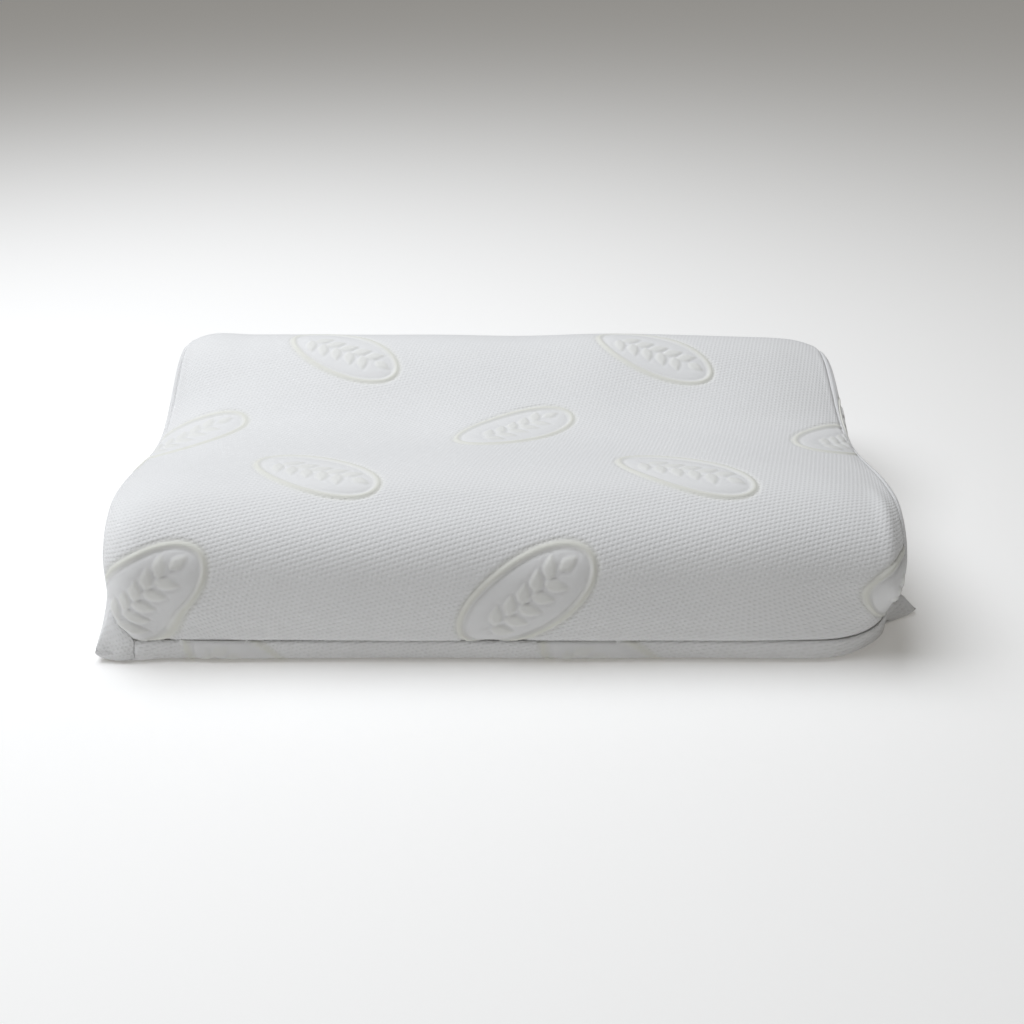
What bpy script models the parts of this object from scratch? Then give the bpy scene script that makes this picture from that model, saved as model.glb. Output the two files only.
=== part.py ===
"""Contour bed pillow with a foam core, a jersey inner cover and a zipped, box-sewn knitted outer cover.

Metres. +X runs along the pillow, +Y points to the high roll and the zip, +Z is up, and the underside
is at Z = 0. Every layer is the same contour set in by its own depth, so a change of the contour, of a
layer's thickness or of a clearance carries all the pieces with it.
"""

import math

import bmesh
import bpy
from mathutils import Vector

# The pillow as a whole
LENGTH = 0.600
DEPTH = 0.400
HIGH_ROLL_HEIGHT = 0.126
LOW_ROLL_HEIGHT = 0.112
VALLEY_HEIGHT = 0.094
HIGH_CREST_FROM_BACK = 0.050
LOW_CREST_FROM_FRONT = 0.058
VALLEY_FROM_BACK = 0.185
BACK_SHOULDER_DROP = 0.050
FRONT_SHOULDER_DROP = 0.046

# How the contour rounds over into each end, and how much rounder the long bottom edges are than that
END_ROUND_LENGTH = 0.030
END_ROUND_INSET = 0.012
BOTTOM_EDGE_EXTRA = 0.002

# Layers, from the outside in
COVER_THICKNESS = 0.0030
JERSEY_THICKNESS = 0.0008
JERSEY_EASE = 0.0005

# Seams
END_SEAM_FROM_END = 0.0107
INNER_SEAM_FROM_END = 0.0130
FRONT_SEAM_HEIGHT = 0.019
THREAD_WIDTH = 0.0008
THREAD_DEPTH = 0.0012
THREAD_RECESS = 0.0003
SEAM_GAP = 0.0004
TOPSTITCH_PROUD = 0.0004
TOPSTITCH_FROM_EDGE = 0.0025

# Zip along the rear
TAPE_ABOVE_EDGE = 0.0035
TAPE_WIDTH = 0.0156
TAPE_THICKNESS = 0.0006
COIL_WIDTH = 0.0021
COIL_THICKNESS = 0.0021
STOP_LENGTH = 0.0027
STOP_OVERHANG = 0.0002
STOP_FROM_STRAIGHT_END = 0.008

# Slider and pull tab
SLIDER_LENGTH = 0.0110
SLIDER_NOSE = 0.0030
SLIDER_SIDE_GAP = 0.0007
FLANGE_THICKNESS = 0.00125
PLATE_THICKNESS = 0.0012
BACK_PLATE_THICKNESS = 0.0009
WEDGE_WIDTH = 0.0011
SLIDE_CLEARANCE = 0.0003
COIL_CLEARANCE = 0.00035
BRIDGE_SETBACK = 0.0017
BRIDGE_WIDTH = 0.0022
BRIDGE_THICKNESS = 0.0009
PIN_RADIUS = 0.0006
PIN_CLEARANCE = 0.0004
TAB_LENGTH = 0.0260
TAB_ARM_WIDTH = 0.0014
TAB_BEYOND_BRIDGE = 0.0016

# Care label
LABEL_LENGTH = 0.034
LABEL_HEIGHT = 0.022
LABEL_THICKNESS = 0.0005
LABEL_ABOVE_STITCH = 0.0025

# Air between two pieces that touch
AIR = 0.0003

ARC_STEPS = 6
EDGE_STEPS = 4
WAVE_STEPS = 8
ROUND_STEPS = 3
PIN_SIDES = 16

# Depths of the layers below the cover's outer surface. The jersey lies far enough in for the zip's tape
# and the slider's back plate
COVER_INSIDE = COVER_THICKNESS
TAPE_OUTSIDE = COVER_INSIDE + AIR
TAPE_INSIDE = TAPE_OUTSIDE + TAPE_THICKNESS
BACK_PLATE_OUTSIDE = TAPE_INSIDE + SLIDE_CLEARANCE
BACK_PLATE_INSIDE = BACK_PLATE_OUTSIDE + BACK_PLATE_THICKNESS
JERSEY_OUTSIDE = BACK_PLATE_INSIDE + SLIDE_CLEARANCE
JERSEY_INSIDE = JERSEY_OUTSIDE + JERSEY_THICKNESS
CORE_OUTSIDE = JERSEY_INSIDE + JERSEY_EASE
COIL_INSIDE = TAPE_OUTSIDE - AIR
COIL_OUTSIDE = COIL_INSIDE - COIL_THICKNESS

# Widths of the zip, from its middle out: wedge, coil, flange, then the edge of the cover's opening
COIL_INNER_EDGE = WEDGE_WIDTH / 2 + COIL_CLEARANCE
COIL_OUTER_EDGE = COIL_INNER_EDGE + COIL_WIDTH
FLANGE_INNER_EDGE = COIL_OUTER_EDGE + COIL_CLEARANCE
SLIDER_HALF_WIDTH = FLANGE_INNER_EDGE + FLANGE_THICKNESS
ZIP_HALF_OPENING = SLIDER_HALF_WIDTH + SLIDER_SIDE_GAP
STITCH_FROM_MIDDLE = ZIP_HALF_OPENING + TOPSTITCH_FROM_EDGE

# Heights above the cover's rear face, for what stands out of it
PLATE_TOP = -(COIL_OUTSIDE - AIR) + PLATE_THICKNESS
PIN_HEIGHT = PLATE_TOP + PIN_CLEARANCE + PIN_RADIUS
BRIDGE_INSIDE = PIN_HEIGHT + PIN_RADIUS + PIN_CLEARANCE
BRIDGE_TOP = BRIDGE_INSIDE + BRIDGE_THICKNESS

# The box around everything is centred on Y = 0, so the bridge's height is shared by both sides
BACK_Y = (DEPTH - BRIDGE_TOP) / 2
FRONT_Y = BACK_Y - DEPTH

BOTTOM_EDGE_RADIUS = END_ROUND_INSET + BOTTOM_EDGE_EXTRA
ZIP_HEIGHT = BOTTOM_EDGE_RADIUS + TAPE_ABOVE_EDGE + TAPE_WIDTH + COIL_INNER_EDGE
STRAIGHT_END = LENGTH / 2 - END_ROUND_LENGTH
END_SEAM_X = LENGTH / 2 - END_SEAM_FROM_END
INNER_SEAM_X = LENGTH / 2 - INNER_SEAM_FROM_END
PANEL_END_X = END_SEAM_X - THREAD_WIDTH / 2 - SEAM_GAP
END_PANEL_START_X = END_SEAM_X + THREAD_WIDTH / 2 + SEAM_GAP
SLEEVE_END_X = INNER_SEAM_X - THREAD_WIDTH / 2 - SEAM_GAP
INNER_END_START_X = INNER_SEAM_X + THREAD_WIDTH / 2 + SEAM_GAP
CHAIN_END_X = STRAIGHT_END - STOP_FROM_STRAIGHT_END
SLIDER_REST_X = CHAIN_END_X - AIR - SLIDER_LENGTH / 2


def material(name, colour, roughness, metallic=0.0):
    """A Principled material of one plain colour."""
    made = bpy.data.materials.new(name)
    made.use_nodes = True
    shader = made.node_tree.nodes["Principled BSDF"]
    shader.inputs["Base Color"].default_value = (*colour, 1.0)
    shader.inputs["Roughness"].default_value = roughness
    shader.inputs["Metallic"].default_value = metallic
    made.diffuse_color = (*colour, 1.0)
    return made


def add_object(name, mesh, finish):
    """Links a mesh as the named piece, in its own material."""
    made = bpy.data.objects.new(name, mesh)
    bpy.context.scene.collection.objects.link(made)
    mesh.materials.append(finish)
    return made


def mesh_from(name, form):
    """Turns a bmesh into a mesh whose faces point out."""
    bmesh.ops.recalc_face_normals(form, faces=form.faces)
    mesh = bpy.data.meshes.new(name)
    form.to_mesh(mesh)
    form.free()
    return mesh


def ellipse(centre_y, centre_z, radius_y, radius_z, start_deg, end_deg, steps):
    """Contour points along an elliptical arc, each as y, z and its outward normal."""
    points = []
    for k in range(steps + 1):
        turn = math.radians(start_deg + (end_deg - start_deg) * k / steps)
        normal = Vector((math.cos(turn) / radius_y, math.sin(turn) / radius_z)).normalized()
        points.append(
            (
                centre_y + radius_y * math.cos(turn),
                centre_z + radius_z * math.sin(turn),
                normal.x,
                normal.y,
            )
        )
    return points


def wave(start_y, start_z, end_y, end_z, steps):
    """Contour points of an S that is level at both ends, without those ends."""
    points = []
    for k in range(1, steps):
        part = k / steps
        slope = (end_z - start_z) * math.pi / 2 * math.sin(math.pi * part) / (end_y - start_y)
        normal = Vector((-slope, 1.0)).normalized()
        height = start_z + (end_z - start_z) * (1 - math.cos(math.pi * part)) / 2
        points.append((start_y + (end_y - start_y) * part, height, normal.x, normal.y))
    return points


def front_point(height):
    """A contour point on the upright front face."""
    return (FRONT_Y, height, -1.0, 0.0)


def back_point(height):
    """A contour point on the upright rear face."""
    return (BACK_Y, height, 1.0, 0.0)


def over_the_top(front_height, back_height):
    """The contour from the front face over both rolls to the rear face."""
    low_y = FRONT_Y + LOW_CREST_FROM_FRONT
    high_y = BACK_Y - HIGH_CREST_FROM_BACK
    valley_y = BACK_Y - VALLEY_FROM_BACK
    low_centre = LOW_ROLL_HEIGHT - FRONT_SHOULDER_DROP
    high_centre = HIGH_ROLL_HEIGHT - BACK_SHOULDER_DROP
    line = [front_point(front_height)]
    line += ellipse(low_y, low_centre, LOW_CREST_FROM_FRONT, FRONT_SHOULDER_DROP, 180, 90, ARC_STEPS)
    line += wave(low_y, LOW_ROLL_HEIGHT, valley_y, VALLEY_HEIGHT, WAVE_STEPS)
    line.append((valley_y, VALLEY_HEIGHT, 0.0, 1.0))
    line += wave(valley_y, VALLEY_HEIGHT, high_y, HIGH_ROLL_HEIGHT, WAVE_STEPS)
    line += ellipse(high_y, high_centre, HIGH_CREST_FROM_BACK, BACK_SHOULDER_DROP, 90, 0, ARC_STEPS)
    line.append(back_point(back_height))
    return line


def under_the_bottom(back_height, front_height):
    """The contour from the rear face round the flat underside to the front face."""
    radius = BOTTOM_EDGE_RADIUS
    line = [back_point(back_height)]
    line += ellipse(BACK_Y - radius, radius, radius, radius, 0, -90, EDGE_STEPS)
    line += ellipse(FRONT_Y + radius, radius, radius, radius, -90, -180, EDGE_STEPS)
    line.append(front_point(front_height))
    return line


def whole_contour():
    """The closed contour, without a repeated point."""
    seam_up = FRONT_SEAM_HEIGHT + THREAD_WIDTH
    seam_down = FRONT_SEAM_HEIGHT - THREAD_WIDTH
    zip_up = ZIP_HEIGHT + ZIP_HALF_OPENING
    zip_down = ZIP_HEIGHT - ZIP_HALF_OPENING
    return over_the_top(seam_up, zip_up) + under_the_bottom(zip_down, seam_down)


def on_layer(x, depth, contour_point):
    """Where a contour point lies at station x, on the layer at this depth below the surface."""
    y, z, normal_y, normal_z = contour_point
    run = max(0.0, abs(x) - STRAIGHT_END) / (END_ROUND_LENGTH - depth)
    fall = 1.0 - math.sqrt(max(0.0, 1.0 - run * run))
    inset = depth + (END_ROUND_INSET - depth) * fall
    return Vector((x, y - normal_y * inset, z - normal_z * inset))


def rounding(depth, from_x, to_x, steps):
    """Stations on the rounded end of a layer, evenly turned from one x to another."""
    reach = END_ROUND_LENGTH - depth
    first = math.asin(min(1.0, max(0.0, from_x - STRAIGHT_END) / reach))
    last = math.asin(min(1.0, max(0.0, to_x - STRAIGHT_END) / reach))
    return [STRAIGHT_END + reach * math.sin(first + (last - first) * k / steps) for k in range(steps + 1)]


def across(depth, end_x):
    """Stations from one side of the pillow to the other, out to end_x."""
    right = rounding(depth, STRAIGHT_END, end_x, ROUND_STEPS)
    return [-x for x in reversed(right)] + right


def shell(outside, inside, closed, capped=False):
    """A wall between two grids of points. Rows run along X and columns along the contour.

    closed joins the last column to the first. capped fills the last row of each grid across, as on
    the end of a cover, and otherwise the wall has a rim there.
    """
    form = bmesh.new()
    outer = [[form.verts.new(p) for p in row] for row in outside]
    inner = [[form.verts.new(p) for p in row] for row in inside]
    columns = len(outside[0])
    last = columns if closed else columns - 1
    for grid in (outer, inner):
        for row, above in zip(grid, grid[1:]):
            for k in range(last):
                after = (k + 1) % columns
                form.faces.new((row[k], row[after], above[after], above[k]))
    rims = [(outer[0], inner[0])]
    if not capped:
        rims.append((outer[-1], inner[-1]))
    for one, other in rims:
        for k in range(last):
            after = (k + 1) % columns
            form.faces.new((one[k], one[after], other[after], other[k]))
    if not closed:
        for k in (0, columns - 1):
            for row in range(len(outer) - 1):
                form.faces.new((outer[row][k], outer[row + 1][k], inner[row + 1][k], inner[row][k]))
    if capped:
        form.faces.new(outer[-1])
        form.faces.new(inner[-1])
    return form


def sheet_piece(name, finish, contour, outside, inside, end_x, closed=False):
    """A layer of even thickness over the middle of the pillow, out to end_x on both sides."""
    grids = [[[on_layer(x, d, p) for p in contour] for x in across(d, end_x)] for d in (outside, inside)]
    return add_object(name, mesh_from(name, shell(*grids, closed)), finish)


def end_piece(name, finish, side, outside, inside, start_x):
    """The contour-shaped end of a cover, from its seam out to its flat face. side is -1 or 1."""
    grids = []
    for depth in (outside, inside):
        stations = rounding(depth, start_x, LENGTH / 2 - depth, ROUND_STEPS)
        grids.append([[on_layer(side * x, depth, p) for p in whole_contour()] for x in stations])
    return add_object(name, mesh_from(name, shell(*grids, closed=True, capped=True)), finish)


def end_thread(name, finish, side, outside, inside, seam_x):
    """The thread in the seam round one end."""
    stations = [side * (seam_x - THREAD_WIDTH / 2), side * (seam_x + THREAD_WIDTH / 2)]
    grids = [[[on_layer(x, d, p) for p in whole_contour()] for x in stations] for d in (outside, inside)]
    return add_object(name, mesh_from(name, shell(*grids, closed=True)), finish)


def back_strip(name, finish, low, high, outside, inside, stations):
    """A strip on the rear face between two heights and over the given stations."""
    ends = [back_point(low), back_point(high)]
    grids = [[[on_layer(x, d, p) for p in ends] for x in stations(d)] for d in (outside, inside)]
    return add_object(name, mesh_from(name, shell(*grids, closed=False)), finish)


def box(name, low, high):
    """A mesh of a box between two corners."""
    form = bmesh.new()
    bmesh.ops.create_cube(form, size=1.0)
    for vertex in form.verts:
        vertex.co = [low[k] if vertex.co[k] < 0 else high[k] for k in range(3)]
    return mesh_from(name, form)


def prism(name, outline, along):
    """A mesh of a flat outline swept along a vector."""
    form = bmesh.new()
    face = form.faces.new([form.verts.new(p) for p in outline])
    swept = bmesh.ops.extrude_face_region(form, geom=[face])["geom"]
    moved = [part for part in swept if isinstance(part, bmesh.types.BMVert)]
    bmesh.ops.translate(form, verts=moved, vec=along)
    return mesh_from(name, form)


def cutter(name, mesh):
    """A helper object that only shapes another piece."""
    made = bpy.data.objects.new(name, mesh)
    bpy.context.scene.collection.objects.link(made)
    made.hide_render = True
    made.display_type = "WIRE"
    return made


def combine(target, helper, operation):
    """Adds a live Boolean of the helper to the target."""
    helper.parent = target.parent
    step = target.modifiers.new(helper.name, "BOOLEAN")
    step.operation = operation
    step.solver = "EXACT"
    step.object = helper


def pivot(name, place, parent=None):
    """An empty that carries a moving piece on its joint's axis."""
    made = bpy.data.objects.new(name, None)
    bpy.context.scene.collection.objects.link(made)
    made.parent = parent
    made.location = place
    return made


def make_core():
    foam = material("foam", (0.90, 0.86, 0.74), 0.85)
    right = rounding(CORE_OUTSIDE, STRAIGHT_END, LENGTH / 2 - CORE_OUTSIDE, 2 * ROUND_STEPS)
    stations = [-x for x in reversed(right)] + right
    rows = [[on_layer(x, CORE_OUTSIDE, p) for p in whole_contour()] for x in stations]
    form = bmesh.new()
    rings = [[form.verts.new(p) for p in row] for row in rows]
    for ring, after in zip(rings, rings[1:]):
        for k in range(len(ring)):
            turn = (k + 1) % len(ring)
            form.faces.new((ring[k], ring[turn], after[turn], after[k]))
    form.faces.new(rings[0])
    form.faces.new(rings[-1])
    add_object("foam_core", mesh_from("foam_core", form), foam)


def make_inner_cover():
    jersey = material("jersey", (0.88, 0.88, 0.86), 0.9)
    overlock = material("overlock_thread", (0.82, 0.82, 0.80), 0.7)
    layer = (JERSEY_OUTSIDE, JERSEY_INSIDE)
    sheet_piece("inner_sleeve", jersey, whole_contour(), *layer, SLEEVE_END_X, closed=True)
    for word, side in (("left", -1), ("right", 1)):
        end_piece(f"inner_{word}_end", jersey, side, *layer, INNER_END_START_X)
        end_thread(f"inner_{word}_thread", overlock, side, *layer, INNER_SEAM_X)


def make_outer_cover():
    knit = material("waffle_knit", (0.86, 0.86, 0.86), 0.9)
    thread = material("seam_thread", (0.80, 0.80, 0.79), 0.7)
    seam_half = THREAD_WIDTH / 2 + SEAM_GAP
    top = over_the_top(FRONT_SEAM_HEIGHT + seam_half, ZIP_HEIGHT + ZIP_HALF_OPENING)
    bottom = under_the_bottom(ZIP_HEIGHT - ZIP_HALF_OPENING, FRONT_SEAM_HEIGHT - seam_half)
    sheet_piece("top_panel", knit, top, 0.0, COVER_INSIDE, PANEL_END_X)
    sheet_piece("bottom_panel", knit, bottom, 0.0, COVER_INSIDE, PANEL_END_X)
    sunk = (THREAD_RECESS, THREAD_RECESS + THREAD_DEPTH)
    for word, side in (("left", -1), ("right", 1)):
        end_piece(f"{word}_end_panel", knit, side, 0.0, COVER_INSIDE, END_PANEL_START_X)
        end_thread(f"{word}_end_seam_thread", thread, side, *sunk, END_SEAM_X)
    seam_low = FRONT_SEAM_HEIGHT - THREAD_WIDTH / 2
    seam = [front_point(seam_low), front_point(seam_low + THREAD_WIDTH)]
    sheet_piece("front_seam_thread", thread, seam, *sunk, PANEL_END_X)


def make_zip_chain():
    tape = material("zip_tape", (0.84, 0.84, 0.83), 0.8)
    nylon = material("zip_nylon", (0.83, 0.83, 0.81), 0.4)
    stop_metal = material("zip_stop", (0.75, 0.75, 0.74), 0.35, 1.0)
    stitch = material("zip_stitch_thread", (0.82, 0.82, 0.81), 0.7)

    def full_width(depth):
        return across(depth, PANEL_END_X)

    def chain_length(depth):
        return [-CHAIN_END_X, CHAIN_END_X]

    def closed_end(depth):
        return [CHAIN_END_X + AIR, CHAIN_END_X + AIR + STOP_LENGTH]

    def open_end(depth):
        return [-x for x in closed_end(depth)]

    on_face = (-AIR - TOPSTITCH_PROUD, -AIR)
    coil_depths = (COIL_OUTSIDE, COIL_INSIDE)
    stop_edge = COIL_OUTER_EDGE + STOP_OVERHANG
    for word, side in (("upper", 1), ("lower", -1)):

        def strip(name, finish, near, far, depths, stations):
            low, high = sorted((ZIP_HEIGHT + side * near, ZIP_HEIGHT + side * far))
            return back_strip(name, finish, low, high, *depths, stations)

        tape_depths = (TAPE_OUTSIDE, TAPE_INSIDE)
        tape_edge = COIL_INNER_EDGE + TAPE_WIDTH
        strip(f"zip_tape_{word}", tape, COIL_INNER_EDGE, tape_edge, tape_depths, full_width)
        strip(f"zip_coil_{word}", nylon, COIL_INNER_EDGE, COIL_OUTER_EDGE, coil_depths, chain_length)
        strip(f"zip_top_stop_{word}", stop_metal, COIL_INNER_EDGE, stop_edge, coil_depths, closed_end)
        far = STITCH_FROM_MIDDLE + THREAD_WIDTH
        strip(f"zip_stitch_{word}", stitch, STITCH_FROM_MIDDLE, far, on_face, full_width)
    low, high = ZIP_HEIGHT - stop_edge, ZIP_HEIGHT + stop_edge
    back_strip("zip_bottom_stop", stop_metal, low, high, *coil_depths, open_end)


def make_slider():
    """The slider on its empty. In the empty's own space X runs along the zip, Y stands out of it and
    Z is up, and Y = 0 is the cover's rear face."""
    metal = material("slider_metal", (0.78, 0.78, 0.77), 0.3, 1.0)
    carrier = pivot("slider_carrier", (SLIDER_REST_X, BACK_Y, ZIP_HEIGHT))
    half = SLIDER_HALF_WIDTH
    wedge = WEDGE_WIDTH / 2
    plate_under = PLATE_TOP - PLATE_THICKNESS
    flange_end = -(TAPE_OUTSIDE - SLIDE_CLEARANCE)
    right_side = [
        (half, PLATE_TOP),
        (half, flange_end),
        (FLANGE_INNER_EDGE, flange_end),
        (FLANGE_INNER_EDGE, plate_under),
        (wedge, plate_under),
        (wedge, -BACK_PLATE_OUTSIDE),
        (half, -BACK_PLATE_OUTSIDE),
        (half, -BACK_PLATE_INSIDE),
    ]
    section = right_side + [(-z, y) for z, y in reversed(right_side)]
    start = -SLIDER_LENGTH / 2
    body = prism("zip_slider", [(start, y, z) for z, y in section], (SLIDER_LENGTH, 0, 0))
    slider = add_object("zip_slider", body, metal)
    slider.parent = carrier

    shape = [
        (start, half - SLIDER_NOSE),
        (start + SLIDER_NOSE, half),
        (-start - SLIDER_NOSE, half),
        (-start, half - SLIDER_NOSE / 2),
    ]
    plan = [(x, -2 * DEPTH, z) for x, z in shape] + [(x, -2 * DEPTH, -z) for x, z in reversed(shape)]
    combine(slider, cutter("slider_plan", prism("slider_plan", plan, (0, 4 * DEPTH, 0))), "INTERSECT")

    foot = PLATE_TOP - PLATE_THICKNESS / 2
    outer_x = SLIDER_LENGTH / 2 - BRIDGE_SETBACK
    inner_x = outer_x - BRIDGE_THICKNESS
    arch = [
        (-outer_x, foot),
        (-outer_x, BRIDGE_TOP - BRIDGE_THICKNESS),
        (-inner_x, BRIDGE_TOP),
        (inner_x, BRIDGE_TOP),
        (outer_x, BRIDGE_TOP - BRIDGE_THICKNESS),
        (outer_x, foot),
        (inner_x, foot),
        (inner_x, BRIDGE_INSIDE),
        (-inner_x, BRIDGE_INSIDE),
        (-inner_x, foot),
    ]
    outline = [(x, y, -BRIDGE_WIDTH / 2) for x, y in arch]
    combine(slider, cutter("slider_bridge", prism("slider_bridge", outline, (0, 0, BRIDGE_WIDTH))), "UNION")
    return carrier


def make_puller(carrier):
    """The pull tab on its own empty, whose origin is the cross-bar's axis under the bridge."""
    metal = material("puller_metal", (0.80, 0.80, 0.79), 0.25, 1.0)
    hinge = pivot("puller_hinge", (0.0, PIN_HEIGHT, 0.0), carrier)
    eye = BRIDGE_WIDTH / 2 + PIN_CLEARANCE
    half = eye + TAB_ARM_WIDTH
    thick = PIN_RADIUS
    tip = [
        (-TAB_LENGTH + half + half * math.cos(turn), -thick, half * math.sin(turn))
        for turn in (math.radians(90 + 180 * k / PIN_SIDES) for k in range(PIN_SIDES + 1))
    ]
    outline = [(0.0, -thick, half)] + tip + [(0.0, -thick, -half)]
    puller = add_object("zip_puller", prism("zip_puller", outline, (0, 2 * thick, 0)), metal)
    puller.parent = hinge

    eye_end = -(SLIDER_LENGTH / 2 - BRIDGE_SETBACK + TAB_BEYOND_BRIDGE)
    window = box("puller_eye", (eye_end, -2 * thick, -eye), (2 * PIN_RADIUS, 2 * thick, eye))
    combine(puller, cutter("puller_eye", window), "DIFFERENCE")

    form = bmesh.new()
    bmesh.ops.create_cone(
        form,
        cap_ends=True,
        segments=PIN_SIDES,
        radius1=PIN_RADIUS,
        radius2=PIN_RADIUS,
        depth=2 * half,
    )
    combine(puller, cutter("puller_bar", mesh_from("puller_bar", form)), "UNION")


def make_label():
    satin = material("label_satin", (0.90, 0.90, 0.90), 0.4)
    low = ZIP_HEIGHT + STITCH_FROM_MIDDLE + THREAD_WIDTH + LABEL_ABOVE_STITCH
    start = -PANEL_END_X
    on_face = (-AIR - LABEL_THICKNESS, -AIR)

    def stations(depth):
        seam_side = [-x for x in reversed(rounding(depth, STRAIGHT_END, PANEL_END_X, ROUND_STEPS))]
        return seam_side + [start + LABEL_LENGTH]

    back_strip("care_label", satin, low, low + LABEL_HEIGHT, *on_face, stations)


for old in list(bpy.data.objects):
    bpy.data.objects.remove(old, do_unlink=True)

make_core()
make_inner_cover()
make_outer_cover()
make_zip_chain()
slider_carrier = make_slider()
make_puller(slider_carrier)
make_label()
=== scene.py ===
"""The looks of a contour bed pillow: a moulded foam core, a jersey inner cover and a zipped knitted cover.

Metres. +X runs along the pillow, +Y points to the high roll and the zip, +Z is up and the underside is at 0.
"""

import math

import bmesh
import bpy
import numpy as np
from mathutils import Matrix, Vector


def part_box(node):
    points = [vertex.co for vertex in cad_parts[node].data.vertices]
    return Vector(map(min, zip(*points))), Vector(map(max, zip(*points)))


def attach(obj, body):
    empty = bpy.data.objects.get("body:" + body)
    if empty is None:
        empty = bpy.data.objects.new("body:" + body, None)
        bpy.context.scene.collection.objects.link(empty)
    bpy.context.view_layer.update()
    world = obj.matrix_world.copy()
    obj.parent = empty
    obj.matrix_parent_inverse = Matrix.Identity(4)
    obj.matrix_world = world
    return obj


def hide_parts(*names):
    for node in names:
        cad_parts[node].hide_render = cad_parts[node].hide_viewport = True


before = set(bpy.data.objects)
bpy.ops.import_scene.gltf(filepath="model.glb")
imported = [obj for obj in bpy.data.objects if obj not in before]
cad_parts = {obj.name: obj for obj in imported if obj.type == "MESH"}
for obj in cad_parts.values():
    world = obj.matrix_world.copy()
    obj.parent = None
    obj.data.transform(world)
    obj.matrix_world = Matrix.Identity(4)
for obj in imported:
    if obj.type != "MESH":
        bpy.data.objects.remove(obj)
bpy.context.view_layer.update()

# ---- Foam core -------------------------------------------------------------------------------------------
# One moulded block of slow-recovery foam: a low roll in front, a shallow valley, and a high roll behind.
# It is never seen with the cover zipped up, and it gives every layer over it its shape.
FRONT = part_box("top_panel")[0].y
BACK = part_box("top_panel")[1].y
MIDDLE = (FRONT + BACK) / 2
HIGH_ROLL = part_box("top_panel")[1].z
HALF_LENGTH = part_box("right_end_panel")[1].x
FRONT_SEAM_Z = (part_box("front_seam_thread")[0].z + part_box("front_seam_thread")[1].z) / 2
LOW_ROLL = 0.112
VALLEY = 0.094
LOW_CREST_Y = FRONT + 0.058
HIGH_CREST_Y = BACK - 0.050
VALLEY_Y = BACK - 0.185
FRONT_SHOULDER = 0.046
BACK_SHOULDER = 0.050
CORNER_RADIUS = 0.035
STRAIGHT_HALF = HALF_LENGTH - CORNER_RADIUS
CORNER_ARC = CORNER_RADIUS * math.pi / 2
CAP_REACH = 0.055
ALONG_END = STRAIGHT_HALF + CORNER_ARC + CAP_REACH
END_SLOPE = 0.062
END_BULGE = 0.003
CORE_DEPTH = 0.0067


def smooth(value, low, high):
    """0 below low, 1 above high, and an even curve between."""
    t = np.clip((value - low) / (high - low), 0, 1)
    return t * t * (3 - 2 * t)


def outline(bottom_radius):
    """The closed outline seen from the end, from the front seam over the rolls and back along the underside:
    the length along it, y, z, and the outward direction, every millimetre."""
    quarter = np.linspace(0, math.pi / 2, 120)
    ramp = np.linspace(0, 1, 200)
    wave = (1 - np.cos(math.pi * ramp)) / 2
    pieces = [
        (np.full(60, FRONT), np.linspace(FRONT_SEAM_Z, LOW_ROLL - FRONT_SHOULDER, 60)),
        (
            LOW_CREST_Y - (LOW_CREST_Y - FRONT) * np.cos(quarter),
            LOW_ROLL - FRONT_SHOULDER * (1 - np.sin(quarter)),
        ),
        (LOW_CREST_Y + (VALLEY_Y - LOW_CREST_Y) * ramp, LOW_ROLL + (VALLEY - LOW_ROLL) * wave),
        (VALLEY_Y + (HIGH_CREST_Y - VALLEY_Y) * ramp, VALLEY + (HIGH_ROLL - VALLEY) * wave),
        (
            HIGH_CREST_Y + (BACK - HIGH_CREST_Y) * np.sin(quarter),
            HIGH_ROLL - BACK_SHOULDER * (1 - np.cos(quarter)),
        ),
        (np.full(60, BACK), np.linspace(HIGH_ROLL - BACK_SHOULDER, bottom_radius, 60)),
        (BACK - bottom_radius * (1 - np.cos(quarter)), bottom_radius * (1 - np.sin(quarter))),
        (np.linspace(BACK - bottom_radius, FRONT + bottom_radius, 300), np.zeros(300)),
        (FRONT + bottom_radius * (1 - np.sin(quarter)), bottom_radius * (1 - np.cos(quarter))),
        (np.full(20, FRONT), np.linspace(bottom_radius, FRONT_SEAM_Z, 20)),
    ]
    y = np.concatenate([p[0] for p in pieces])
    z = np.concatenate([p[1] for p in pieces])
    length = np.concatenate([[0], np.cumsum(np.hypot(np.diff(y), np.diff(z)))])
    even = np.linspace(0, length[-1], int(length[-1] / 0.001) + 1)
    y, z = np.interp(even, length, y), np.interp(even, length, z)
    turn_y = np.gradient(y, even)
    turn_z = np.gradient(z, even)
    size = np.hypot(turn_y, turn_z)
    return {"round": even, "y": y, "z": z, "out_y": -turn_z / size, "out_z": turn_y / size}


INNER_OUTLINE = outline(0.014)
MID_HEIGHT = 0.050


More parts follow.
